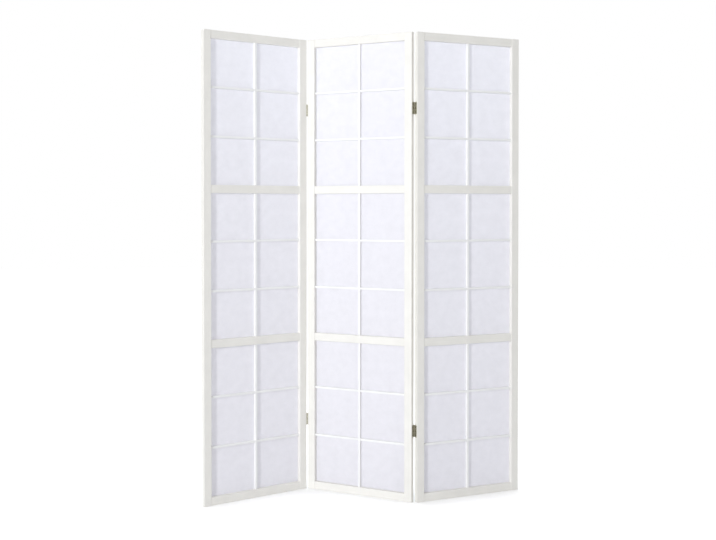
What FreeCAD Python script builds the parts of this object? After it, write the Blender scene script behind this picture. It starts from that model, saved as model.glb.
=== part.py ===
import FreeCAD, Part
import os

# A folding screen of three painted timber panels that stands in a zigzag.
# A panel is a frame of two stiles and four rails, with a halved lattice and paper in its three sections.
# Lengths are in millimetres and angles in degrees. +X is to the right, +Y away from the front, +Z is up.
# A panel's own frame has x from its left edge, y from the stiles' front face and z from the floor.

# Panel frame
panel_height = 1750.0
panel_width = 440.0
panel_thickness = 20.0
stile_width = 30.0
rail_height = 30.0
rail_thickness = 15.5
rail_setback = 1.5
arris = 0.8

# Open sections between the rails, from the top down, as shares of the height that the rails leave
section_names = ("top", "middle", "bottom")
section_shares = (0.330, 0.332, 0.338)
rail_names = ("top", "upper", "lower", "bottom")

# Lattice, flush with the backs of the rails and set back further from the stiles' fronts
muntin_width = 8.0
lattice_setback = 6.0
cross_count = 2
tenon_length = 6.0
tenon_thickness = 5.0
mortise_end_gap = 0.5

# Paper, glued to the backs of the lattice and rails and into a rebate in the stiles
paper_thickness = 0.5
paper_lap = 10.0
paper_edge_gap = 0.5
rebate_width = 8.0

# Dowels at the rail ends
dowel_diameter = 6.0
dowel_length = 24.0
dowel_pitch = 14.0
dowel_play = 0.05
dowel_end_gap = 1.0

# Hinges. Those of the right fold sit a little lower than those of the left fold.
hinge_inset = 273.0
right_hinge_drop = 8.6
edge_gap = 2.4
leaf_length = 45.0
leaf_width = 16.0
leaf_thickness = 1.0
barrel_diameter = 4.0
barrel_clearance = 0.2
knuckle_count = 5
knuckle_gap = 0.3
pin_diameter = 2.0
pin_play = 0.05
pin_head_diameter = 3.2
pin_head_height = 0.6

# Countersunk screws
screw_length = 14.0
screw_diameter = 3.0
screw_head_diameter = 5.0
screw_tip_length = 3.0
screw_pitch = 15.0
screw_stagger = 2.0
screw_play = 0.05
recess_width = 0.7
recess_span = 3.0
recess_depth = 0.7

# How the screen stands: the centre panel's turn, and each fold's turn from flat
centre_turn_angle = 26.0
left_fold_angle = 60.5
right_fold_angle = 49.5

# Cuts run past the faces that they open
overrun = 1.0

# Places that follow from the sizes
rail_back = rail_setback + rail_thickness
rail_middle = rail_setback + rail_thickness / 2
lattice_middle = (lattice_setback + rail_back) / 2
inner_left = stile_width
inner_right = panel_width - stile_width
panel_middle = panel_width / 2
pin_offset = barrel_diameter / 2 + barrel_clearance
hinge_heights = {"lower": hinge_inset, "upper": panel_height - hinge_inset}
hinge_drops = {"front": 0, "back": right_hinge_drop}


# Shape helpers

def block(x_span, y_span, z_span):
    """Box between the two ends of a span along each axis, whichever way round they are given."""
    spans = [sorted(span) for span in (x_span, y_span, z_span)]
    corner = FreeCAD.Vector(*[span[0] for span in spans])
    sides = [span[1] - span[0] for span in spans]
    return Part.makeBox(*sides, corner)


def prism(corners, run):
    """Solid swept from a closed outline of corners along the vector run."""
    face = Part.Face(Part.makePolygon(corners + corners[:1]))
    return face.extrude(run)


def rod(radius, start, end):
    """Round rod between two points."""
    run = end - start
    return Part.makeCylinder(radius, run.Length, start, run)


# Heights of the rails and sections

def height_spans():
    """Height spans of the rails and of the open sections, each from the top down."""
    free_height = panel_height - len(rail_names) * rail_height
    rails = [(panel_height - rail_height, panel_height)]
    sections = []
    for share in section_shares:
        top = rails[-1][0]
        bottom = top - free_height * share / sum(section_shares)
        sections.append((bottom, top))
        rails.append((bottom - rail_height, bottom))
    return rails, sections


def cross_spans(section):
    """Height spans of a section's cross muntins, which part it into equal openings."""
    bottom, top = section
    opening = (top - bottom - cross_count * muntin_width) / (cross_count + 1)
    step = opening + muntin_width
    return [(top - index * step, top - index * step + muntin_width) for index in range(1, cross_count + 1)]


rail_spans, section_spans = height_spans()
upright_span = (panel_middle - muntin_width / 2, panel_middle + muntin_width / 2)
tenon_span = (lattice_middle - tenon_thickness / 2, lattice_middle + tenon_thickness / 2)
mortise_depth = tenon_length + mortise_end_gap


# Dowels

def dowel_heights(rail_span):
    """Heights of the two dowels in a rail's end."""
    middle = sum(rail_span) / 2
    return (middle - dowel_pitch / 2, middle + dowel_pitch / 2)


def dowel_rods(radius, end_gap):
    """Rods at every rail end of a panel, half in the rail and half in the stile."""
    reach = dowel_length / 2 + end_gap
    rods = []
    for rail_span in rail_spans:
        for seam in (inner_left, inner_right):
            for height in dowel_heights(rail_span):
                start = FreeCAD.Vector(seam - reach, rail_middle, height)
                end = FreeCAD.Vector(seam + reach, rail_middle, height)
                rods.append(rod(radius, start, end))
    return rods


def dowels():
    """All dowels of one panel."""
    return Part.makeCompound(dowel_rods(dowel_diameter / 2, 0))


def dowel_holes():
    """What the dowels' holes take out of a panel's rails and stiles."""
    return dowel_rods(dowel_diameter / 2 + dowel_play, dowel_end_gap)


# Stiles and rails

def stile_outline():
    """Corners of the left stile's section, with eased edges and the paper's rebate at the back."""
    inner = stile_width
    back = panel_thickness
    return [
        (0, arris),
        (arris, 0),
        (inner - arris, 0),
        (inner, arris),
        (inner, rail_back),
        (inner - rebate_width, rail_back),
        (inner - rebate_width, back),
        (arris, back),
        (0, back - arris),
    ]


def plain_stile(side):
    """A stile before its holes; side is left or right."""
    outline = stile_outline()
    if side == "right":
        outline = [(panel_width - x, y) for x, y in outline]
    corners = [FreeCAD.Vector(x, y, 0) for x, y in outline]
    return prism(corners, FreeCAD.Vector(0, 0, panel_height))


def cross_mortises(side):
    """Mortises for the cross muntins' tenons in a stile's inner side."""
    if side == "left":
        x_span = (inner_left - mortise_depth, inner_left + overrun)
    else:
        x_span = (inner_right - overrun, inner_right + mortise_depth)
    return [block(x_span, tenon_span, z_span) for section in section_spans for z_span in cross_spans(section)]


def stile(side, hinge_sides):
    """A finished stile; hinge_sides gives the face that the barrels are on at each hinged side."""
    cuts = cross_mortises(side) + dowel_holes()
    if side in hinge_sides:
        cuts += pilot_holes(side, hinge_sides[side])
    return plain_stile(side).cut(cuts)


def plain_rail(rail_span):
    """A rail before its holes, with its two front edges eased."""
    bottom, top = rail_span
    outline = [
        (rail_setback + arris, bottom),
        (rail_back, bottom),
        (rail_back, top),
        (rail_setback + arris, top),
        (rail_setback, top - arris),
        (rail_setback, bottom + arris),
    ]
    corners = [FreeCAD.Vector(inner_left, y, z) for y, z in outline]
    return prism(corners, FreeCAD.Vector(inner_right - inner_left, 0, 0))


def upright_mortises(rail_index):
    """Mortises for the upright muntins' tenons in a rail's edges."""
    bottom, top = rail_spans[rail_index]
    mortises = []
    if rail_index > 0:
        mortises.append(block(upright_span, tenon_span, (top - mortise_depth, top + overrun)))
    if rail_index < len(section_spans):
        mortises.append(block(upright_span, tenon_span, (bottom - overrun, bottom + mortise_depth)))
    return mortises


def rail(rail_index):
    """A finished rail, counted from the top."""
    return plain_rail(rail_spans[rail_index]).cut(upright_mortises(rail_index) + dowel_holes())


# Lattice

def upright_muntin(section):
    """A section's upright, halved from the back where the cross muntins pass."""
    bottom, top = section
    bar = block(upright_span, (lattice_setback, rail_back), (bottom, top))
    tenons = block(upright_span, tenon_span, (bottom - tenon_length, top + tenon_length))
    notches = [block(upright_span, (lattice_middle, rail_back), z_span) for z_span in cross_spans(section)]
    return bar.fuse(tenons).cut(notches)


def cross_muntin(z_span):
    """A cross muntin, halved from the front where the upright passes."""
    bar = block((inner_left, inner_right), (lattice_setback, rail_back), z_span)
    tenons = block((inner_left - tenon_length, inner_right + tenon_length), tenon_span, z_span)
    notch = block(upright_span, (lattice_setback, lattice_middle), z_span)
    return bar.fuse(tenons).cut(notch)


def cross_muntins():
    """All cross muntins of one panel."""
    return Part.makeCompound([cross_muntin(z_span) for section in section_spans for z_span in cross_spans(section)])


# Paper

def paper(section):
    """A section's sheet of paper, lapped onto the rails and reaching into the stiles' rebates."""
    bottom, top = section
    reach = rebate_width - paper_edge_gap
    x_span = (inner_left - reach, inner_right + reach)
    return block(x_span, (rail_back, rail_back + paper_thickness), (bottom - paper_lap, top + paper_lap))


# Hinges. A hinge's own frame has its origin on the pin at mid height.
# side is +1 for the leaf on the pin's right and -1 for the one on its left.
# depth is +1 where the panels lie behind the pin and -1 where they lie in front of it.

def knuckle_spans(first):
    """Height spans of every second knuckle, from the one with index first."""
    pitch = leaf_length / knuckle_count
    spans = []
    for index in range(first, knuckle_count, 2):
        low = index * pitch - leaf_length / 2
        high = low + pitch
        if index > 0:
            low += knuckle_gap / 2
        if index < knuckle_count - 1:
            high -= knuckle_gap / 2
        spans.append((low, high))
    return spans


def screw_points(side, depth):
    """Points on a leaf's outer face where the screws enter, three in a staggered line."""
    face = side * (edge_gap / 2 - leaf_thickness)
    points = []
    for step in (-1, 0, 1):
        stagger = screw_stagger * (2 * abs(step) - 1)
        middle = pin_offset + leaf_width / 2 + stagger
        points.append(FreeCAD.Vector(face, depth * middle, step * screw_pitch))
    return points


def screw_blank(play):
    """A screw along +X with its head's flat at the origin, or the space it takes with some play."""
    head = Part.makeCone(
        screw_head_diameter / 2 + play,
        screw_diameter / 2 + play,
        leaf_thickness,
        FreeCAD.Vector(0, 0, 0),
        FreeCAD.Vector(1, 0, 0),
    )
    neck = FreeCAD.Vector(leaf_thickness, 0, 0)
    tip = FreeCAD.Vector(screw_length - screw_tip_length, 0, 0)
    shank = rod(screw_diameter / 2 + play, neck, tip)
    point = Part.makeCone(screw_diameter / 2 + play, 0, screw_tip_length + play, tip, FreeCAD.Vector(1, 0, 0))
    return head.fuse([shank, point])


def screw():
    """A screw along +X with a cross recess in its head."""
    half_width = recess_width / 2
    half_span = recess_span / 2
    tall = block((-overrun, recess_depth), (-half_width, half_width), (-half_span, half_span))
    wide = block((-overrun, recess_depth), (-half_span, half_span), (-half_width, half_width))
    return screw_blank(0).cut([tall, wide])


def at_screw_points(shape, side, depth):
    """Copies of a shape made along +X, at a leaf's screws and pointing into its stile."""
    copies = []
    for point in screw_points(side, depth):
        turned = shape.copy()
        if side < 0:
            turned.rotate(FreeCAD.Vector(0, 0, 0), FreeCAD.Vector(0, 0, 1), 180)
        turned.translate(point)
        copies.append(turned)
    return copies


def leaf(side, depth, first):
    """A hinge leaf: a plate on the stile's edge, tongues to the barrel, and its knuckles."""
    x_span = (side * (edge_gap / 2 - leaf_thickness), side * edge_gap / 2)
    plate_span = (depth * pin_offset, depth * (pin_offset + leaf_width))
    plate = block(x_span, plate_span, (-leaf_length / 2, leaf_length / 2))
    pieces = []
    for low, high in knuckle_spans(first):
        pieces.append(block(x_span, (0, depth * pin_offset), (low, high)))
        pieces.append(rod(barrel_diameter / 2, FreeCAD.Vector(0, 0, low), FreeCAD.Vector(0, 0, high)))
    reach = leaf_length / 2 + overrun
    bore = rod(pin_diameter / 2 + pin_play, FreeCAD.Vector(0, 0, -reach), FreeCAD.Vector(0, 0, reach))
    holes = at_screw_points(screw_blank(screw_play), side, depth)
    return plate.fuse(pieces).cut([bore] + holes).removeSplitter()


def pin():
    """A hinge pin with a peened head at each end."""
    half = leaf_length / 2
    shaft = rod(pin_diameter / 2, FreeCAD.Vector(0, 0, -half), FreeCAD.Vector(0, 0, half))
    heads = []
    for end in (-1, 1):
        base = FreeCAD.Vector(0, 0, end * half)
        top = FreeCAD.Vector(0, 0, end * (half + pin_head_height))
        heads.append(rod(pin_head_diameter / 2, base, top))
    return shaft.fuse(heads)


# A hinged edge of a panel. Its barrels are in line with the front or the back face.

def pin_point(side, barrel_face):
    """Where a panel's own frame has the pin of its left or right edge, at the floor."""
    x = -edge_gap / 2 if side == "left" else panel_width + edge_gap / 2
    y = -pin_offset if barrel_face == "front" else panel_thickness + pin_offset
    return FreeCAD.Vector(x, y, 0)


def edge_signs(side, barrel_face):
    """The side and depth signs, in the hinge's frame, of the leaf on a panel's edge."""
    return (1 if side == "left" else -1, 1 if barrel_face == "front" else -1)


def hinge_point(side, barrel_face, level):
    """The pin's middle for the upper or lower hinge on a panel's edge."""
    height = hinge_heights[level] - hinge_drops[barrel_face]
    return pin_point(side, barrel_face) + FreeCAD.Vector(0, 0, height)


def moved(shape, shift):
    """A copy of a shape, shifted."""
    copy = shape.copy()
    copy.translate(shift)
    return copy


def at_both_hinges(shapes, side, barrel_face):
    """Copies of shapes from the hinge's frame at the lower and upper hinge of a panel's edge."""
    return [moved(shape, hinge_point(side, barrel_face, level)) for level in hinge_heights for shape in shapes]


def pilot_holes(side, barrel_face):
    """Holes for the hinge screws in a stile."""
    holes = at_screw_points(screw_blank(screw_play), *edge_signs(side, barrel_face))
    return at_both_hinges(holes, side, barrel_face)


def hinge_screws(side, barrel_face):
    """The screws of both hinges on a panel's edge."""
    screws = at_screw_points(screw(), *edge_signs(side, barrel_face))
    return Part.makeCompound(at_both_hinges(screws, side, barrel_face))


# Panels

def panel_nodes(name, hinge_sides):
    """Every timber and paper piece of a panel, in the panel's own frame."""
    nodes = {}
    for side in ("left", "right"):
        nodes[name + "_" + side + "_stile"] = stile(side, hinge_sides)
    for index, rail_name in enumerate(rail_names):
        nodes[name + "_" + rail_name + "_rail"] = rail(index)
    for section_name, section in zip(section_names, section_spans):
        nodes[name + "_" + section_name + "_upright_muntin"] = upright_muntin(section)
        nodes[name + "_" + section_name + "_paper"] = paper(section)
    nodes[name + "_cross_muntins"] = cross_muntins()
    nodes[name + "_dowels"] = dowels()
    for side, barrel_face in hinge_sides.items():
        nodes[name + "_" + side + "_hinge_screws"] = hinge_screws(side, barrel_face)
    return nodes


def hinge_leaves(fold, side, barrel_face, role, first):
    """The leaves of one fold's two hinges on one panel, in that panel's frame."""
    signs = edge_signs(side, barrel_face)
    shape = leaf(*signs, first)
    return {
        fold + "_" + level + "_hinge_" + role: moved(shape, hinge_point(side, barrel_face, level))
        for level in hinge_heights
    }


def hinge_pins(fold, side, barrel_face):
    """The pins of one fold's two hinges, in the frame of the panel that carries them."""
    return {
        fold + "_" + level + "_hinge_pin": moved(pin(), hinge_point(side, barrel_face, level))
        for level in hinge_heights
    }


left_nodes = panel_nodes("left_panel", {"right": "front"})
left_nodes.update(hinge_leaves("left_fold", "right", "front", "outer_leaf", 1))

centre_nodes = panel_nodes("centre_panel", {"left": "front", "right": "back"})
centre_nodes.update(hinge_leaves("left_fold", "left", "front", "inner_leaf", 0))
centre_nodes.update(hinge_leaves("right_fold", "right", "back", "inner_leaf", 0))
centre_nodes.update(hinge_pins("left_fold", "left", "front"))
centre_nodes.update(hinge_pins("right_fold", "right", "back"))

right_nodes = panel_nodes("right_panel", {"left": "back"})
right_nodes.update(hinge_leaves("right_fold", "left", "back", "outer_leaf", 1))


# Standing in a zigzag

def turned_about(turn, own_point, world_point):
    """Placement that turns a panel about the vertical and brings its own point to a world point."""
    turning = FreeCAD.Rotation(FreeCAD.Vector(0, 0, 1), turn)
    return FreeCAD.Placement(world_point - turning.multVec(own_point), turning)


def placed(nodes, placement):
    """Copies of a panel's nodes, placed."""
    result = {}
    for name, shape in nodes.items():
        copy = shape.copy()
        copy.Placement = placement.multiply(copy.Placement)
        result[name] = copy
    return result


centre_place = turned_about(-centre_turn_angle, FreeCAD.Vector(panel_middle, 0, 0), FreeCAD.Vector(0, 0, 0))
left_pin = centre_place.multVec(pin_point("left", "front"))
right_pin = centre_place.multVec(pin_point("right", "back"))
left_place = turned_about(left_fold_angle - centre_turn_angle, pin_point("right", "front"), left_pin)
right_place = turned_about(right_fold_angle - centre_turn_angle, pin_point("left", "back"), right_pin)

screen = placed(left_nodes, left_place)
screen.update(placed(centre_nodes, centre_place))
screen.update(placed(right_nodes, right_place))

# The origin is on the floor, at the middle of the standing screen's box
box = Part.makeCompound(list(screen.values())).BoundBox
to_origin = FreeCAD.Vector(-box.Center.x, -box.Center.y, 0)

os.makedirs("parts", exist_ok=True)
for name, shape in screen.items():
    moved(shape, to_origin).exportStep("parts/" + name + ".step")

print("nodes", len(screen))
print("box", round(box.XLength, 3), round(box.YLength, 3), round(box.ZLength, 3))
for name, point in (("left pin", left_pin), ("right pin", right_pin)):
    place = point + to_origin
    print(name, round(place.x, 4), round(place.y, 4))
for name, place in (("left panel", left_place), ("centre panel", centre_place), ("right panel", right_place)):
    base = place.Base + to_origin
    print(name, "front left corner", round(base.x, 4), round(base.y, 4))
print("section heights", [tuple(round(edge, 2) for edge in section) for section in section_spans])
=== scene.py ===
import math

import bmesh
import bpy
import numpy as np
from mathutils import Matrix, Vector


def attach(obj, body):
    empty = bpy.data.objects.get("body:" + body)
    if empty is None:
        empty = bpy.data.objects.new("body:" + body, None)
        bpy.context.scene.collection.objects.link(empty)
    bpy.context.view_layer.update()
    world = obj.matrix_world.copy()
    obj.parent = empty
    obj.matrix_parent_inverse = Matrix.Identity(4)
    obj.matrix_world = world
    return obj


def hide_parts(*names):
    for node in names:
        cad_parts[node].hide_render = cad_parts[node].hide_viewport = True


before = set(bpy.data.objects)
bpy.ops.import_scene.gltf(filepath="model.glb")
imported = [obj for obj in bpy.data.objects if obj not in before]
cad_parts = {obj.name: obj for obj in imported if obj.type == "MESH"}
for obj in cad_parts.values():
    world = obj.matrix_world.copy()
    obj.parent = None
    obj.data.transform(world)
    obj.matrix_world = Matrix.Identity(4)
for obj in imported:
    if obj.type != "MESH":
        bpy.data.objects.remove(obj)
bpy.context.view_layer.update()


# Stiles
# Six uprights, two to a panel, each one planed length of softwood from the floor to the top.
# Their edges are eased with sandpaper, and a rebate along the back inner edge takes the paper.
# They are sprayed with satin white paint, thin enough for the grain to lift it a little.
panel_height = 1.75
panel_width = 0.44
panel_thickness = 0.02
stile_width = 0.03
rebate_width = 0.008
rail_back = 0.017
stile_ease = 0.0011
end_ease = 0.0007
arc_steps = 5

# Shift of the timber's pattern from piece to piece along the grain, and its share across the grain, then the
# distance at which points are welded and the fold in degrees that stays sharp
timber_shift = 0.37
cross_shift_share = 0.31
wood_weld = 1e-6
wood_sharp_angle = 38.0

# Front left corner of each panel on the floor, and its turn from facing straight forward in degrees
panel_places = {
    "left_panel": (-0.5877192, -0.1338075, 34.5),
    "centre_panel": (-0.2208257, 0.1157292, -26.0),
    "right_panel": (0.1954068, -0.0776072, 23.5),
}


def stood(panel, own):
    """World points of points in a panel's own frame, x along the panel, y at right angles behind it, z up:
    x and y turned by the panel's turn and added to its front left corner, z as it is."""
    x, y, turn = panel_places[panel]
    c = math.cos(math.radians(turn))
    s = math.sin(math.radians(turn))
    across = x + own[:, 0] * c - own[:, 1] * s
    deep = y + own[:, 0] * s + own[:, 1] * c
    return np.stack([across, deep, own[:, 2]], axis=1)


def eased_outline(corners, radius):
    """Closed outline with its square corners rounded, and the outward normal at each point.
    With a and b the unit directions from a corner to the ones before and after it, the arc's centre is
    corner + radius (a + b), and its point at angle t is centre - radius (b cos t + a sin t)."""
    corners = np.asarray(corners, float)
    before = np.roll(corners, 1, axis=0) - corners
    after = np.roll(corners, -1, axis=0) - corners
    before /= np.linalg.norm(before, axis=1, keepdims=True)
    after /= np.linalg.norm(after, axis=1, keepdims=True)
    convex = np.sign(after[:, 0] * before[:, 1] - after[:, 1] * before[:, 0])
    t = np.linspace(0, math.pi / 2, arc_steps)
    arm = after[:, None] * np.cos(t)[None, :, None] + before[:, None] * np.sin(t)[None, :, None]
    centre = corners + radius * (before + after)
    points = centre[:, None] - radius * arm
    outward = -convex[:, None, None] * arm
    return points.reshape(-1, 2), outward.reshape(-1, 2)


def end_stations(start, end, radius):
    """Stations along a bar with rounded ends: at angle t the inset is radius (1 - sin t) and the place
    is radius (1 - cos t) in from the end. Gives the places and the insets."""
    t = np.linspace(0, math.pi / 2, arc_steps)
    step = radius * (1 - np.cos(t))
    inset = radius * (1 - np.sin(t))
    return np.concatenate([start + step, (end - step)[::-1]]), np.concatenate([inset, inset[::-1]])


def carried(points, outward, places, insets, limits=None):
    """A profile carried along a straight path: ring i is points - inset i times outward, at place i.
    limits gives each ring the span that its first coordinate is cut off to."""
    ring = points[None] - insets[:, None, None] * outward[None]
    if limits is not None:
        ring[:, :, 0] = np.clip(ring[:, :, 0], limits[:, :1], limits[:, 1:])
    path = np.broadcast_to(places[:, None, None], ring.shape[:2] + (1,))
    return np.concatenate([ring, path], axis=2)


def closed_faces(rings, count):
    """Quads between neighbouring rings of a closed profile, and one face over each end."""
    i = np.arange(rings - 1)[:, None] * count
    j = np.arange(count)[None, :]
    k = (j + 1) % count
    quads = np.stack([i + j, i + k, i + count + k, i + count + j], axis=2).reshape(-1, 4)
    first = list(range(count))[::-1]
    last = list(range((rings - 1) * count, rings * count))
    return quads.tolist() + [first, last]


def stacked(pieces):
    """One set of points and faces out of several (points, faces)."""
    points = []
    faces = []
    for piece_points, piece_faces in pieces:
        start = sum(len(p) for p in points)
        points.append(piece_points)
        faces += [[start + n for n in face] for face in piece_faces]
    return np.concatenate(points), faces


def smooth_object(name, mesh, material, sharp_angle=None):
    """An object in the scene with a smooth-shaded mesh, sharp at folds of more than an angle in degrees."""
    mesh.polygons.foreach_set("use_smooth", np.ones(len(mesh.polygons), bool))
    mesh.update()
    if sharp_angle is not None:
        mesh.set_sharp_from_angle(angle=math.radians(sharp_angle))
    mesh.materials.append(material)
    piece = bpy.data.objects.new(name, mesh)
    bpy.context.scene.collection.objects.link(piece)
    return piece


def wooden_piece(name, panel, bars, order, material, node):
    """One object out of bars given as (profile first, profile second, path) points.
    order says which of those, with its sign and shift, is x, y and z in the panel's frame. The attribute
    grain keeps the path first, shifted by the piece's own amount, so that each piece has its own timber."""
    mesh = bpy.data.meshes.new(name)
    points, faces = stacked([(bar.reshape(-1, 3), closed_faces(*bar.shape[:2])) for bar in bars])
    mesh.from_pydata(points, [], faces)
    shell = bmesh.new()
    shell.from_mesh(mesh)
    bmesh.ops.remove_doubles(shell, verts=shell.verts, dist=wood_weld)
    bmesh.ops.dissolve_degenerate(shell, dist=wood_weld, edges=shell.edges)
    shell.to_mesh(mesh)
    shell.free()
    place = np.empty(len(mesh.vertices) * 3)
    mesh.vertices.foreach_get("co", place)
    place = place.reshape(-1, 3)
    own_shift = timber_shift * len(bpy.data.meshes)
    across_shift = cross_shift_share * own_shift
    grain = np.stack([place[:, 2] + own_shift, place[:, 0] + across_shift, place[:, 1]], axis=1)
    mesh.attributes.new("grain", "FLOAT_VECTOR", "POINT").data.foreach_set("vector", grain.ravel())
    own = np.stack([sign * place[:, axis] + shift for axis, sign, shift in order], axis=1)
    mesh.vertices.foreach_set("co", stood(panel, own).ravel())
    piece = smooth_object(name, mesh, material, wood_sharp_angle)
    flats = piece.modifiers.new("Even flats", "WEIGHTED_NORMAL")
    flats.keep_sharp = True
    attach(piece, panel)
    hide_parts(node)
    return piece


def node_row(owner, kinds):
    """New nodes in a material or world, named and set from {name: (type, {input or property: value})}."""
    tree = owner.node_tree
    made = {}
    for name, (kind, values) in kinds.items():
        node = tree.nodes.new(kind)
        node.name = name
        for key, value in values.items():
            if isinstance(key, int) or key in node.inputs:
                node.inputs[key].default_value = value
            else:
                setattr(node, key, value)
        made[name] = node
    return made


def joined(owner, made, links):
    """Links (node, output, node, input) between named nodes."""
    for source, output, target, entry in links:
        owner.node_tree.links.new(made[source].outputs[output], made[target].inputs[entry])


def emptied(owner):
    """A new material or world with no nodes in it."""
    owner.use_nodes = True
    owner.node_tree.nodes.clear()
    return owner


def shaded_by_tone(mix, colour):
    """Sets a multiplying mix to a colour, which the tone on its other input then shades."""
    mix.inputs["Factor"].default_value = 1.0
    mix.inputs[6].default_value = (*colour, 1.0)


def tone_range(low, high, to_low, to_high):
    """A map range node's entry in a row: its input's span and its output's."""
    return ("ShaderNodeMapRange", {"From Min": low, "From Max": high, "To Min": to_low, "To Max": to_high})


multiplied_colour = ("ShaderNodeMix", {"data_type": "RGBA", "blend_type": "MULTIPLY"})


def painted_wood(name, colour):
    """Satin paint on planed softwood: a mottle of a few percent, a faint lift of the grain in long thin
    streaks, and the fine orange peel of a spray gun."""
    material = emptied(bpy.data.materials.new(name))
    made = node_row(material, {
        "place": ("ShaderNodeAttribute", {"attribute_name": "grain"}),
        "streak size": ("ShaderNodeMapping", {"Scale": (9.0, 420.0, 420.0)}),
        "streaks": ("ShaderNodeTexNoise", {"Scale": 1.0, "Detail": 4.0, "Roughness": 0.6}),
        "peel": ("ShaderNodeTexNoise", {"Scale": 900.0, "Detail": 2.0, "Roughness": 0.5}),
        "mottle": ("ShaderNodeTexNoise", {"Scale": 14.0, "Detail": 3.0, "Roughness": 0.55}),
        "mottle tone": tone_range(0.3, 0.7, 0.965, 1.02),
        "streak tone": tone_range(0.35, 0.65, 0.985, 1.01),
        "both tones": ("ShaderNodeMath", {"operation": "MULTIPLY"}),
        "tint": multiplied_colour,
        "shine": tone_range(0.3, 0.7, 0.48, 0.58),
        "lifted": ("ShaderNodeBump", {"Strength": 0.22, "Distance": 0.0004}),
        "sprayed": ("ShaderNodeBump", {"Strength": 0.1, "Distance": 0.0002}),
        "paint": ("ShaderNodeBsdfPrincipled", {"Specular IOR Level": 0.35}),
        "out": ("ShaderNodeOutputMaterial", {}),
    })
    shaded_by_tone(made["tint"], colour)
    joined(material, made, [
        ("place", "Vector", "streak size", "Vector"),
        ("streak size", "Vector", "streaks", "Vector"),
        ("place", "Vector", "peel", "Vector"),
        ("place", "Vector", "mottle", "Vector"),
        ("mottle", "Fac", "mottle tone", "Value"),
        ("streaks", "Fac", "streak tone", "Value"),
        ("mottle tone", "Result", "both tones", 0),
        ("streak tone", "Result", "both tones", 1),
        ("both tones", "Value", "tint", 7),
        ("tint", 2, "paint", "Base Color"),
        ("mottle", "Fac", "shine", "Value"),
        ("shine", "Result", "paint", "Roughness"),
        ("streaks", "Fac", "lifted", "Height"),
        ("peel", "Fac", "sprayed", "Height"),
        ("lifted", "Normal", "sprayed", "Normal"),
        ("sprayed", "Normal", "paint", "Normal"),
        ("paint", "BSDF", "out", "Surface"),
    ])
    return material


frame_paint = painted_wood("white_frame_paint", (0.862, 0.845, 0.805))

stile_corners = np.array([
    (0, 0),
    (stile_width, 0),
    (stile_width, rail_back),
    (stile_width - rebate_width, rail_back),
    (stile_width - rebate_width, panel_thickness),
    (0, panel_thickness),
])
as_given = ((0, 1, 0), (1, 1, 0), (2, 1, 0))

for panel in panel_places:
    for side in ("left", "right"):
        node = f"{panel}_{side}_stile"
        corners = stile_corners
        if side == "right":
            corners = (stile_corners * (-1, 1) + (panel_width, 0))[::-1]
        points, outward = eased_outline(corners, stile_ease)
        places, insets = end_stations(0.0, panel_height, end_ease)
        bar = carried(points, outward, places, insets)
        stile = wooden_piece(f"{node}_painted", panel, [bar], as_given, frame_paint, node)


# Rails
# Twelve cross pieces, four to a panel, of the same softwood. They are planed a little thinner than the
# stiles, so that their fronts stand just behind. Each is butted between the stiles on glued dowels and
# sprayed with them, so that only a hairline shows at its ends.
rail_height = 0.03
rail_setback = 0.0015
rail_ease = 0.0011
hairline = 0.00025
section_shares = {"top": 0.330, "middle": 0.332, "bottom": 0.338}
rail_levels = ("top", "upper", "lower", "bottom")

free_height = panel_height - len(rail_levels) * rail_height
drops = [free_height * share + rail_height for share in section_shares.values()]
rail_tops = panel_height - np.cumsum([0.0] + drops)
rail_spans = {level: (top - rail_height, top) for level, top in zip(rail_levels, rail_tops)}
section_spans = {
    section: (low + rail_height, high)
    for section, low, high in zip(section_shares, rail_tops[1:] - rail_height, rail_tops[:-1] - rail_height)
}
path_is_x = ((2, 1, 0), (0, 1, 0), (1, 1, 0))

for panel in panel_places:
    for level, (low, high) in rail_spans.items():
        node = f"{panel}_{level}_rail"
        corners = [(rail_setback, high), (rail_setback, low), (rail_back, low), (rail_back, high)]
        points, outward = eased_outline(corners, rail_ease)
        places, insets = end_stations(stile_width, panel_width - stile_width, hairline)
        bar = carried(points, outward, places, insets)
        rail = wooden_piece(f"{node}_painted", panel, [bar], path_is_x, frame_paint, node)


# Upright muntins
# Nine thin bars, one up the middle of each section, flush with the backs of the rails and shallower in front.
# Stub tenons hold their ends in the rails, and they are halved from the back where the cross muntins pass.
muntin_width = 0.008
muntin_ease = 0.0006
lattice_setback = 0.006
tenon_length = 0.006
tenon_thickness = 0.005
lattice_middle = (lattice_setback + rail_back) / 2
tenon_limits = (lattice_middle - tenon_thickness / 2, lattice_middle + tenon_thickness / 2)
whole_limits = (lattice_setback, rail_back)
front_half = (lattice_setback, lattice_middle)
back_half = (lattice_middle, rail_back)
openings_up = 3


def cross_heights(section):
    """Height spans of a section's two cross muntins, which part it into three equal openings."""
    low, high = section_spans[section]
    crossings = openings_up - 1
    opening = (high - low - crossings * muntin_width) / openings_up
    tops = high - opening - np.arange(crossings) * (opening + muntin_width)
    return [(top - muntin_width, top) for top in tops]


def muntin_bar(start, end, notches, notch_limits):
    """A muntin's bar: its square profile with eased corners, cut down to the tenon at both ends and to
    half its depth along each notch, so that its walls stand square."""
    edges = [(start - tenon_length, tenon_limits), (start, tenon_limits), (start, whole_limits)]
    for low, high in sorted(notches):
        edges += [(low, whole_limits), (low, notch_limits), (high, notch_limits), (high, whole_limits)]
    edges += [(end, whole_limits), (end, tenon_limits), (end + tenon_length, tenon_limits)]
    half = muntin_width / 2
    corners = [(lattice_setback, half), (lattice_setback, -half), (rail_back, -half), (rail_back, half)]
    points, outward = eased_outline(corners, muntin_ease)
    places = np.array([place for place, limit in edges])
    limits = np.array([limit for place, limit in edges])
    return carried(points, outward, places, np.zeros(len(edges)), limits)


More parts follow.
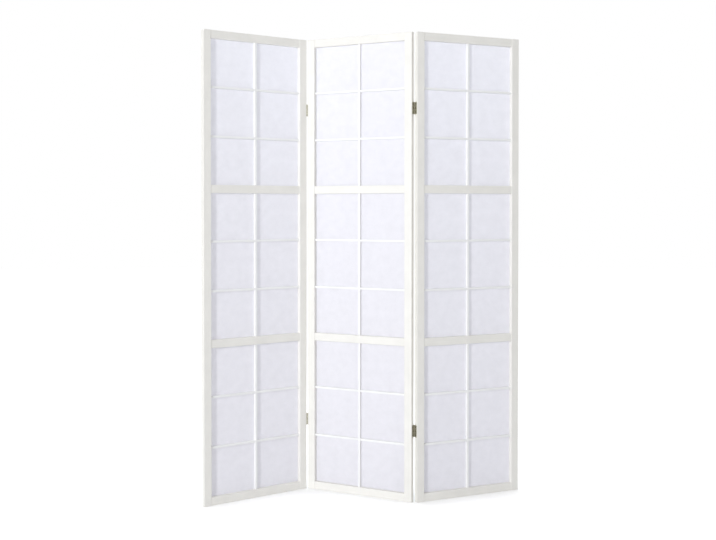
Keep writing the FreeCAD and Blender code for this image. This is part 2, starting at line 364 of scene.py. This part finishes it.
panel_middle = panel_width / 2
upright_order = ((1, -1, panel_middle), (0, 1, 0), (2, 1, 0))
# The lattice takes the frames' white paint painted lighter and cooler, painted light that makes the thin bars
# look as lit as the paper behind them.
lattice_paint_painted_lighter = painted_wood("white_lattice_paint", (0.92, 0.918, 0.915))

for panel in panel_places:
    for section, (low, high) in section_spans.items():
        name = f"{panel}_{section}_upright_painted"
        bar = muntin_bar(low, high, cross_heights(section), front_half)
        node = f"{panel}_{section}_upright_muntin"
        upright = wooden_piece(name, panel, [bar], upright_order, lattice_paint_painted_lighter, node)


# Cross muntins
# Eighteen thin bars, two to a section, from stile to stile and flush with the uprights, front and back.
# Stub tenons hold them in the stiles, and they are halved from the front where the upright passes.
for panel in panel_places:
    upright_notch = [(panel_middle - muntin_width / 2, panel_middle + muntin_width / 2)]
    bars = []
    for section in section_spans:
        for low, high in cross_heights(section):
            bar = muntin_bar(stile_width, panel_width - stile_width, upright_notch, back_half)
            bar[:, :, 1] += (low + high) / 2
            bars.append(bar)
    node = f"{panel}_cross_muntins"
    crosses = wooden_piece(f"{panel}_cross_painted", panel, bars, path_is_x, lattice_paint_painted_lighter, node)


# Paper
# Nine sheets of white non-woven paper, one to a section, glued to the backs of the rails and muntins
# and to the shoulders of the rebates in the stiles. Between the bars it cockles by under half a millimetre.
paper_lap = 0.01
paper_reach = 0.0075
paper_thickness = 0.0005
glue_film = 0.00004
cockle = 0.00045
cells_across = 72
cells_up = 96
glue_rise = 0.028
wave_count = 7
wave_lengths = (0.07, 0.21)
wave_share = 1 / 9

# Shifts of the pulp's pattern from panel to panel and from section to section, and the same steps of the seed
# that its cockle is drawn from
pulp_shifts = (0.7, 0.2)
seed_steps = (100, 1)
first_seed = 1


def sheet_surface(section, seed):
    """Depth of a sheet over a grid of u across and v up: flat where it is glued, and elsewhere the cockle
    times a sum of slow sines of u and v, times a smooth rise with the distance from the nearest bar."""
    low, high = section_spans[section]
    u = np.linspace(stile_width - paper_reach, panel_width - stile_width + paper_reach, cells_across + 1)
    v = np.linspace(low - paper_lap, high + paper_lap, cells_up + 1)
    half = muntin_width / 2
    to_stiles = np.minimum(u - stile_width, panel_width - stile_width - u)
    to_upright = np.minimum(to_stiles, np.abs(u - panel_middle) - half)
    to_bars = np.minimum(v - low, high - v)
    for bottom, top in cross_heights(section):
        to_bars = np.minimum(to_bars, np.abs(v - (bottom + top) / 2) - half)
    away = np.minimum(to_upright[:, None], to_bars[None, :])
    rise = np.clip(away / glue_rise, 0, 1)
    rise = rise * rise * (3 - 2 * rise)
    dice = np.random.default_rng(seed)
    wave = np.zeros((len(u), len(v)))
    for _ in range(wave_count):
        turn = dice.uniform(0, math.pi)
        length = dice.uniform(*wave_lengths)
        phase = dice.uniform(0, 2 * math.pi)
        along = u[:, None] * math.cos(turn) + v[None, :] * math.sin(turn)
        wave += np.sin(2 * math.pi * along / length + phase)
    depth = cockle * rise * (0.5 + wave * wave_share)
    across, up = np.meshgrid(u, v, indexing="ij")
    return np.stack([across, rail_back + glue_film + np.clip(depth, 0, None), up], axis=2)


def sheet_faces(columns, rows):
    """Quads of an open grid, facing the front of the panel."""
    i = np.arange(columns - 1)[:, None] * rows
    j = np.arange(rows - 1)[None, :]
    corner = i + j
    return np.stack([corner, corner + rows, corner + rows + 1, corner + 1], axis=2).reshape(-1, 4).tolist()


# Stretch and turn of the noise that each of the two crossing sets of fibres follows
fibre_sets = {"fibre": ((150.0, 60.0, 1.0), 0.5), "crossing": ((55.0, 170.0, 1.0), -0.35)}


def fibrous_paper(name, colour, behind):
    """Non-woven paper: clouds of thicker and thinner pulp, fine crossing fibres on the lines where a bent
    noise passes its middle value, and light that comes through from behind."""
    material = emptied(bpy.data.materials.new(name))
    kinds = {
        "place": ("ShaderNodeAttribute", {"attribute_name": "sheet"}),
        "clouds": ("ShaderNodeTexNoise", {"Scale": 34.0, "Detail": 5.0, "Roughness": 0.62}),
        "cloud tone": tone_range(0.3, 0.7, 0.972, 1.016),
        "all fibres": ("ShaderNodeMath", {"operation": "MAXIMUM"}),
        "fibre tone": tone_range(0.0, 1.0, 1.0, 0.985),
        "both tones": ("ShaderNodeMath", {"operation": "MULTIPLY"}),
        "tint": multiplied_colour,
        "back tint": multiplied_colour,
        "felt": ("ShaderNodeTexNoise", {"Scale": 700.0, "Detail": 3.0, "Roughness": 0.6}),
        "felted": ("ShaderNodeBump", {"Strength": 0.18, "Distance": 0.0002}),
        "laid": ("ShaderNodeBump", {"Strength": 0.12, "Distance": 0.0001}),
        "front": ("ShaderNodeBsdfPrincipled", {"Roughness": 0.88, "Specular IOR Level": 0.2}),
        "through": ("ShaderNodeBsdfTranslucent", {}),
        "sheet": ("ShaderNodeMixShader", {0: 0.5}),
        "out": ("ShaderNodeOutputMaterial", {}),
    }
    links = [
        ("place", "Vector", "clouds", "Vector"),
        ("clouds", "Fac", "cloud tone", "Value"),
        ("all fibres", "Value", "fibre tone", "Value"),
        ("cloud tone", "Result", "both tones", 0),
        ("fibre tone", "Result", "both tones", 1),
        ("both tones", "Value", "tint", 7),
        ("both tones", "Value", "back tint", 7),
        ("tint", 2, "front", "Base Color"),
        ("back tint", 2, "through", "Color"),
        ("place", "Vector", "felt", "Vector"),
        ("felt", "Fac", "felted", "Height"),
        ("all fibres", "Value", "laid", "Height"),
        ("felted", "Normal", "laid", "Normal"),
        ("laid", "Normal", "front", "Normal"),
        ("front", "BSDF", "sheet", 1),
        ("through", "BSDF", "sheet", 2),
        ("sheet", "Shader", "out", "Surface"),
    ]
    for entry, (fibre, (stretch, turn)) in enumerate(fibre_sets.items()):
        kinds[f"{fibre} size"] = ("ShaderNodeMapping", {"Scale": stretch, "Rotation": (0.0, 0.0, turn)})
        kinds[f"{fibre} noise"] = ("ShaderNodeTexNoise", {"Scale": 1.0, "Detail": 2.0, "Distortion": 1.4})
        kinds[f"{fibre} middle"] = ("ShaderNodeMath", {"operation": "SUBTRACT", 1: 0.5})
        kinds[f"{fibre} side"] = ("ShaderNodeMath", {"operation": "ABSOLUTE"})
        kinds[f"{fibre} line"] = tone_range(0.0, 0.02, 1.0, 0.0)
        links += [
            ("place", "Vector", f"{fibre} size", "Vector"),
            (f"{fibre} size", "Vector", f"{fibre} noise", "Vector"),
            (f"{fibre} noise", "Fac", f"{fibre} middle", 0),
            (f"{fibre} middle", "Value", f"{fibre} side", 0),
            (f"{fibre} side", "Value", f"{fibre} line", "Value"),
            (f"{fibre} line", "Result", "all fibres", entry),
        ]
    made = node_row(material, kinds)
    shaded_by_tone(made["tint"], colour)
    shaded_by_tone(made["back tint"], behind)
    joined(material, made, links)
    return material


paper_finish = fibrous_paper("fibrous_white_paper", (0.854, 0.837, 0.86), (0.86, 0.856, 0.884))

for number, panel in enumerate(panel_places):
    for count, (section, (low, high)) in enumerate(section_spans.items()):
        name = f"{panel}_{section}_paper_sheet"
        seed = seed_steps[0] * number + seed_steps[1] * count + first_seed
        surface = sheet_surface(section, seed)
        own = surface.reshape(-1, 3)
        mesh = bpy.data.meshes.new(name)
        mesh.from_pydata(stood(panel, own), [], sheet_faces(*surface.shape[:2]))
        on_sheet = own[:, (0, 2)] + np.array(pulp_shifts) * (number, count)
        pulp = np.column_stack([on_sheet, np.zeros(len(own))])
        mesh.attributes.new("sheet", "FLOAT_VECTOR", "POINT").data.foreach_set("vector", pulp.ravel())
        sheet = smooth_object(name, mesh, paper_finish)
        body = sheet.modifiers.new("Thickness", "SOLIDIFY")
        body.thickness = paper_thickness
        body.offset = -1.0
        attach(sheet, panel)
        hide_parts(f"{panel}_{section}_paper")


# Dowels
# Forty-eight bare beech dowels, two at each rail end, glued half into the rail and half into the stile.
# Nothing of them shows on the finished screen, so they keep the shape that they have in the part.
def bare_beech(name, colour):
    """Turned beech: short dark flecks drawn out along the dowel over a pale brown."""
    material = emptied(bpy.data.materials.new(name))
    made = node_row(material, {
        "place": ("ShaderNodeTexCoord", {}),
        "fleck size": ("ShaderNodeMapping", {"Scale": (120.0, 120.0, 900.0)}),
        "flecks": ("ShaderNodeTexNoise", {"Scale": 1.0, "Detail": 3.0}),
        "fleck tone": tone_range(0.35, 0.65, 0.8, 1.08),
        "tint": multiplied_colour,
        "wood": ("ShaderNodeBsdfPrincipled", {"Roughness": 0.62}),
        "out": ("ShaderNodeOutputMaterial", {}),
    })
    shaded_by_tone(made["tint"], colour)
    joined(material, made, [
        ("place", "Object", "fleck size", "Vector"),
        ("fleck size", "Vector", "flecks", "Vector"),
        ("flecks", "Fac", "fleck tone", "Value"),
        ("fleck tone", "Result", "tint", 7),
        ("tint", 2, "wood", "Base Color"),
        ("wood", "BSDF", "out", "Surface"),
    ])
    return material


def dressed(node_name, material):
    """Gives a CAD node its material."""
    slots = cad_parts[node_name].data.materials
    slots.clear()
    slots.append(material)


beech = bare_beech("bare_beech", (0.62, 0.43, 0.25))
for panel in panel_places:
    dressed(f"{panel}_dowels", beech)


# Hinges
# Four small butt hinges of rolled brass, antiqued to a dull olive grey, screwed to the stiles' edges.
# The left pair has its barrels at the front and the right pair at the back, so that the screen folds in a Z.
def antique_brass(name, colour, bright, roughness):
    """Antiqued metal: a brown film over brass, rubbed thinner in cloudy patches, with fine scratches."""
    material = emptied(bpy.data.materials.new(name))
    made = node_row(material, {
        "place": ("ShaderNodeTexCoord", {}),
        "patches": ("ShaderNodeTexNoise", {"Scale": 240.0, "Detail": 6.0, "Roughness": 0.72}),
        "rubbed": tone_range(0.36, 0.66, 0.0, 1.0),
        "tone": ("ShaderNodeMix", {"data_type": "RGBA", 6: (*colour, 1.0), 7: (*bright, 1.0)}),
        "wear": tone_range(0.35, 0.7, roughness + 0.1, roughness - 0.06),
        "scratch size": ("ShaderNodeMapping", {"Scale": (1600.0, 1600.0, 160.0)}),
        "scratches": ("ShaderNodeTexNoise", {"Scale": 1.0, "Detail": 3.0}),
        "scored": ("ShaderNodeBump", {"Strength": 0.2, "Distance": 0.0001}),
        "metal": ("ShaderNodeBsdfPrincipled", {"Metallic": 0.85}),
        "out": ("ShaderNodeOutputMaterial", {}),
    })
    joined(material, made, [
        ("place", "Object", "patches", "Vector"),
        ("patches", "Fac", "rubbed", "Value"),
        ("rubbed", "Result", "tone", "Factor"),
        ("tone", 2, "metal", "Base Color"),
        ("patches", "Fac", "wear", "Value"),
        ("wear", "Result", "metal", "Roughness"),
        ("place", "Object", "scratch size", "Vector"),
        ("scratch size", "Vector", "scratches", "Vector"),
        ("scratches", "Fac", "scored", "Height"),
        ("scored", "Normal", "metal", "Normal"),
        ("metal", "BSDF", "out", "Surface"),
    ])
    return material


leaf_metal = antique_brass("antique_brass_leaf", (0.325, 0.31, 0.25), (0.62, 0.595, 0.485), 0.42)
pin_metal = antique_brass("antique_brass_pin", (0.42, 0.39, 0.33), (0.8, 0.76, 0.67), 0.36)
screw_metal = antique_brass("antique_brass_screw", (0.02, 0.018, 0.013), (0.09, 0.08, 0.06), 0.44)

edge_gap = 0.0024
leaf_length = 0.045
leaf_width = 0.016
leaf_thickness = 0.001
leaf_bevel = 0.00012
barrel_radius = 0.002
bore_radius = 0.00105
slit_angle = 98.0
pin_offset = 0.0022
pin_radius = 0.001
pin_head_radius = 0.0016
pin_head_height = 0.0006
knuckle_count = 5
knuckle_gap = 0.0003
screw_pitch = 0.015
screw_stagger = 0.002
sink_radii = (0.00255, 0.00155)
hinge_heights = {
    "left_fold": {"lower": 0.273, "upper": 1.477},
    "right_fold": {"lower": 0.2644, "upper": 1.4684},
}
leaf_far = edge_gap / 2
leaf_near = leaf_far - leaf_thickness

# Steps round a hole, round the rolled strip outside and inside, round a pin and over its head, then the angle
# where a hole's steps start, the distances at which points count as one, and the fold that stays sharp
hole_steps = 28
outer_steps = 36
inner_steps = 28
pin_steps = 24
dome_steps = 6
first_hole_angle = -3.1
metal_weld = 1e-7
same_place = 1e-9
metal_sharp_angle = 30.0


def on_rectangle(centre, low, high, angles):
    """Where rays from a point inside a rectangle meet its edges: for each angle the nearest of the four
    edges' distances along the ray."""
    ray = np.stack([np.cos(angles), np.sin(angles)], axis=1)
    with np.errstate(divide="ignore"):
        reach = np.maximum((high - centre) / ray, (low - centre) / ray).min(axis=1)
    return centre + ray * reach[:, None]


def drilled_cell(step):
    """A third of a leaf's plate around one countersunk hole: rings from the front face's edge over the hole's
    wide rim and its narrow one to the back face's edge. Gives the points and faces."""
    stagger = screw_stagger * (2 * abs(step) - 1)
    centre = np.array([pin_offset + leaf_width / 2 + stagger, step * screw_pitch])
    low = np.array([pin_offset, (step - 0.5) * screw_pitch])
    high = np.array([pin_offset + leaf_width, (step + 0.5) * screw_pitch])
    towards = np.array([(x, z) for x in (low[0], high[0]) for z in (low[1], high[1])]) - centre
    even = np.arange(hole_steps) * 2 * math.pi / hole_steps + first_hole_angle
    angles = np.sort(np.concatenate([even, np.arctan2(towards[:, 1], towards[:, 0])]))
    edge = on_rectangle(centre, low, high, angles)
    circle = np.stack([np.cos(angles), np.sin(angles)], axis=1)
    wide = centre + sink_radii[0] * circle
    narrow = centre + sink_radii[1] * circle
    rings = []
    for depth, ring in ((leaf_near, edge), (leaf_near, wide), (leaf_far, narrow), (leaf_far, edge)):
        rings.append(np.column_stack([np.full(len(ring), depth), ring]))
    count = len(angles)
    faces = closed_faces(len(rings), count)[:-2]
    back = (len(rings) - 1) * count
    for i in range(count):
        k = (i + 1) % count
        level = abs(edge[i, 1] - edge[k, 1]) < same_place
        shared = level and abs(edge[i, 1]) < leaf_length / 2 - metal_weld
        if not shared or abs(edge[i, 0] - edge[k, 0]) < same_place:
            faces.append([back + i, back + k, k, i])
    return np.concatenate(rings), faces


def rolled_knuckle(low, high):
    """A strip that leaves the plate and rolls round the pin: the outer arc runs from the plate's far face
    back to a slit beside its near face, and the bore's arc runs back inside it. Gives points and faces."""
    slit = math.radians(slit_angle) - 2 * math.pi
    outer = np.linspace(math.acos(leaf_far / barrel_radius), slit, outer_steps)
    inner = np.linspace(slit, math.acos(leaf_near / bore_radius), inner_steps)
    outline = np.concatenate([
        barrel_radius * np.stack([np.cos(outer), np.sin(outer)], axis=1),
        bore_radius * np.stack([np.cos(inner), np.sin(inner)], axis=1),
        [(leaf_near, pin_offset), (leaf_far, pin_offset)],
    ])
    rings = [np.column_stack([outline, np.full(len(outline), z)]) for z in (low, high)]
    return np.concatenate(rings), closed_faces(2, len(outline))


def knuckle_spans(first):
    """Height spans of every second of the knuckles, with half the gap off at each inner end."""
    pitch = leaf_length / knuckle_count
    spans = []
    for index in range(first, knuckle_count, 2):
        low = index * pitch - leaf_length / 2 + (knuckle_gap / 2 if index > 0 else 0)
        high = (index + 1) * pitch - leaf_length / 2 - (knuckle_gap / 2 if index < knuckle_count - 1 else 0)
        spans.append((low, high))
    return spans


def domed_pin():
    """A pin with a domed head at each end: past the shaft, at angle t the radius is the head's radius times
    cos t and the height is the head's height times sin t."""
    t = np.linspace(0, math.pi / 2, dome_steps + 1)[:-1]
    half = leaf_length / 2
    radii = np.concatenate([[pin_radius], pin_head_radius * np.cos(t)])
    heights = np.concatenate([[half], half + pin_head_height * np.sin(t)])
    turn = np.arange(pin_steps) * 2 * math.pi / pin_steps
    rings = []
    for radius, height in zip([*radii[::-1], *radii], [*-heights[::-1], *heights]):
        circle = [radius * np.cos(turn), radius * np.sin(turn)]
        rings.append(np.column_stack([*circle, np.full(pin_steps, height)]))
    return np.concatenate(rings), closed_faces(len(rings), pin_steps)


def hinge_piece(name, panel, edge, depth, height, pieces, material, node):
    """One hinge part out of (points, faces) in the hinge's frame, on a panel's left or right edge.
    depth is 1 for barrels in front of the panel and -1 for barrels behind it."""
    side = 1 if edge == "left" else -1
    pin_x = -edge_gap / 2 if edge == "left" else panel_width + edge_gap / 2
    pin_y = -pin_offset if depth > 0 else panel_thickness + pin_offset
    points, faces = stacked(pieces)
    mesh = bpy.data.meshes.new(name)
    mesh.from_pydata(stood(panel, points * (side, depth, 1) + (pin_x, pin_y, height)), [], faces)
    shell = bmesh.new()
    shell.from_mesh(mesh)
    bmesh.ops.remove_doubles(shell, verts=shell.verts, dist=metal_weld)
    bmesh.ops.recalc_face_normals(shell, faces=shell.faces)
    shell.to_mesh(mesh)
    shell.free()
    piece = smooth_object(name, mesh, material, metal_sharp_angle)
    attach(piece, panel)
    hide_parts(node)
    return piece


# For each leaf its panel, the panel's edge that it sits on, and the first of its knuckles
leaf_seats = {
    "left_fold": {"outer_leaf": ("left_panel", "right", 1), "inner_leaf": ("centre_panel", "left", 0)},
    "right_fold": {"outer_leaf": ("right_panel", "left", 1), "inner_leaf": ("centre_panel", "right", 0)},
}
for fold, seats in leaf_seats.items():
    depth = 1 if fold == "left_fold" else -1
    for level, height in hinge_heights[fold].items():
        for role, (panel, edge, first) in seats.items():
            pieces = [drilled_cell(step) for step in (-1, 0, 1)]
            pieces += [rolled_knuckle(low, high) for low, high in knuckle_spans(first)]
            node = f"{fold}_{level}_hinge_{role}"
            leaf = hinge_piece(f"{node}_rolled", panel, edge, depth, height, pieces, leaf_metal, node)
            worn_edges = leaf.modifiers.new("Worn edges", "BEVEL")
            worn_edges.width = leaf_bevel
            worn_edges.segments = 2
            worn_edges.limit_method = "ANGLE"
        node = f"{fold}_{level}_hinge_pin"
        panel, edge, _ = seats["inner_leaf"]
        pin = hinge_piece(f"{node}_domed", panel, edge, depth, height, [domed_pin()], pin_metal, node)
for row in ("left_panel_right", "centre_panel_left", "centre_panel_right", "right_panel_left"):
    dressed(f"{row}_hinge_screws", screw_metal)


# Floor, light and camera
# A plain white studio floor under an even sky, which both look white to the camera and in reflections.
# A small soft box stands at the left front and a wide, bluish one hangs above and behind, so that light
# also comes through the paper. A painted contact shade dims the floor's glow a little where the panels stand
# on it.
floor_reach = 14.0
floor_drop = 0.0002
floor_mesh = bpy.data.meshes.new("studio_floor")
floor_corners = np.array([(-1, -1, 0), (1, -1, 0), (1, 1, 0), (-1, 1, 0)]) * floor_reach - (0, 0, floor_drop)
floor_mesh.from_pydata(floor_corners, [], [(0, 1, 2, 3)])
floor = bpy.data.objects.new("studio_floor", floor_mesh)
bpy.context.scene.collection.objects.link(floor)

# Nodes and links that give 1 to the rays that see a surface: straight, mirrored or through glass
seen_kinds = {
    "rays": ("ShaderNodeLightPath", {}),
    "seen or mirrored": ("ShaderNodeMath", {"operation": "MAXIMUM"}),
    "seen at all": ("ShaderNodeMath", {"operation": "MAXIMUM"}),
}
seen_links = [
    ("rays", "Is Camera Ray", "seen or mirrored", 0),
    ("rays", "Is Glossy Ray", "seen or mirrored", 1),
    ("seen or mirrored", "Value", "seen at all", 0),
    ("rays", "Is Transmission Ray", "seen at all", 1),
]

floor_finish = emptied(bpy.data.materials.new("studio_white"))
made = node_row(floor_finish, {
    **seen_kinds,
    "lift": ("ShaderNodeMath", {"operation": "MULTIPLY", 1: 0.6}),
    # painted contact shade: occlusion near the panels dims the floor's glow
    "painted shade occlusion": ("ShaderNodeAmbientOcclusion", {"Distance": 0.2}),
    "painted contact shade": tone_range(0.5, 1.0, 0.26, 1.0),
    "lift under painted shade": ("ShaderNodeMath", {"operation": "MULTIPLY"}),
    "place": ("ShaderNodeTexCoord", {}),
    "grain": ("ShaderNodeTexNoise", {"Scale": 6.0, "Detail": 4.0}),
    "tone": tone_range(0.0, 1.0, 0.88, 0.91),
    "ground": ("ShaderNodeBsdfDiffuse", {}),
    "glow": ("ShaderNodeEmission", {}),
    "both": ("ShaderNodeAddShader", {}),
    "out": ("ShaderNodeOutputMaterial", {}),
})
joined(floor_finish, made, seen_links + [
    ("seen at all", "Value", "lift", 0),
    ("painted shade occlusion", "AO", "painted contact shade", "Value"),
    ("lift", "Value", "lift under painted shade", 0),
    ("painted contact shade", "Result", "lift under painted shade", 1),
    ("lift under painted shade", "Value", "glow", "Strength"),
    ("place", "Object", "grain", "Vector"),
    ("grain", "Fac", "tone", "Value"),
    ("tone", "Result", "ground", "Color"),
    ("ground", "BSDF", "both", 0),
    ("glow", "Emission", "both", 1),
    ("both", "Shader", "out", "Surface"),
])
floor_mesh.materials.append(floor_finish)

sky = emptied(bpy.data.worlds.new("even_sky"))
made = node_row(sky, {
    **seen_kinds,
    "level": tone_range(0.0, 1.0, 0.48, 1.0),
    "glow": ("ShaderNodeBackground", {"Color": (1.0, 1.0, 1.0, 1.0)}),
    "out": ("ShaderNodeOutputWorld", {}),
})
joined(sky, made, seen_links + [
    ("seen at all", "Value", "level", "Value"),
    ("level", "Result", "glow", "Strength"),
    ("glow", "Background", "out", "Surface"),
])
bpy.context.scene.world = sky


def soft_light(name, place, target, size, power, colour):
    """A soft box that faces a target."""
    lamp = bpy.data.lights.new(name, "AREA")
    lamp.color = colour
    lamp.shape = "RECTANGLE"
    lamp.size, lamp.size_y = size
    lamp.energy = power
    box = bpy.data.objects.new(name, lamp)
    bpy.context.scene.collection.objects.link(box)
    box.location = place
    facing = Vector(target) - Vector(place)
    box.rotation_mode = "QUATERNION"
    box.rotation_quaternion = facing.to_track_quat("-Z", "Y")


soft_light("left_soft_box", (-3.6, -6.2, 2.16), (0.0, 0.0, 0.9), (0.6, 1.0), 288.0, (0.96, 0.98, 1.0))
soft_light("back_soft_box", (-0.42, 1.55, 2.6), (0.0, 0.0, 1.5), (2.2, 1.0), 40.0, (0.78, 0.9, 0.98))

# The camera's pitch in degrees below level, and its shift in pixels of a picture of the photograph's width
camera_pitch = 0.73
camera_shift = -48.8
picture_width = 716.0

lens = bpy.data.cameras.new("photo_camera")
lens.lens = 50.0
lens.sensor_width = 36.0
lens.shift_y = camera_shift / picture_width
camera = bpy.data.objects.new("photo_camera", lens)
bpy.context.scene.collection.objects.link(camera)
camera.location = (-0.0245, -3.765, 1.095)
camera.rotation_euler = (math.radians(90.0 - camera_pitch), 0.0, 0.0)
bpy.context.scene.camera = camera
bpy.context.scene.view_settings.view_transform = "Standard"
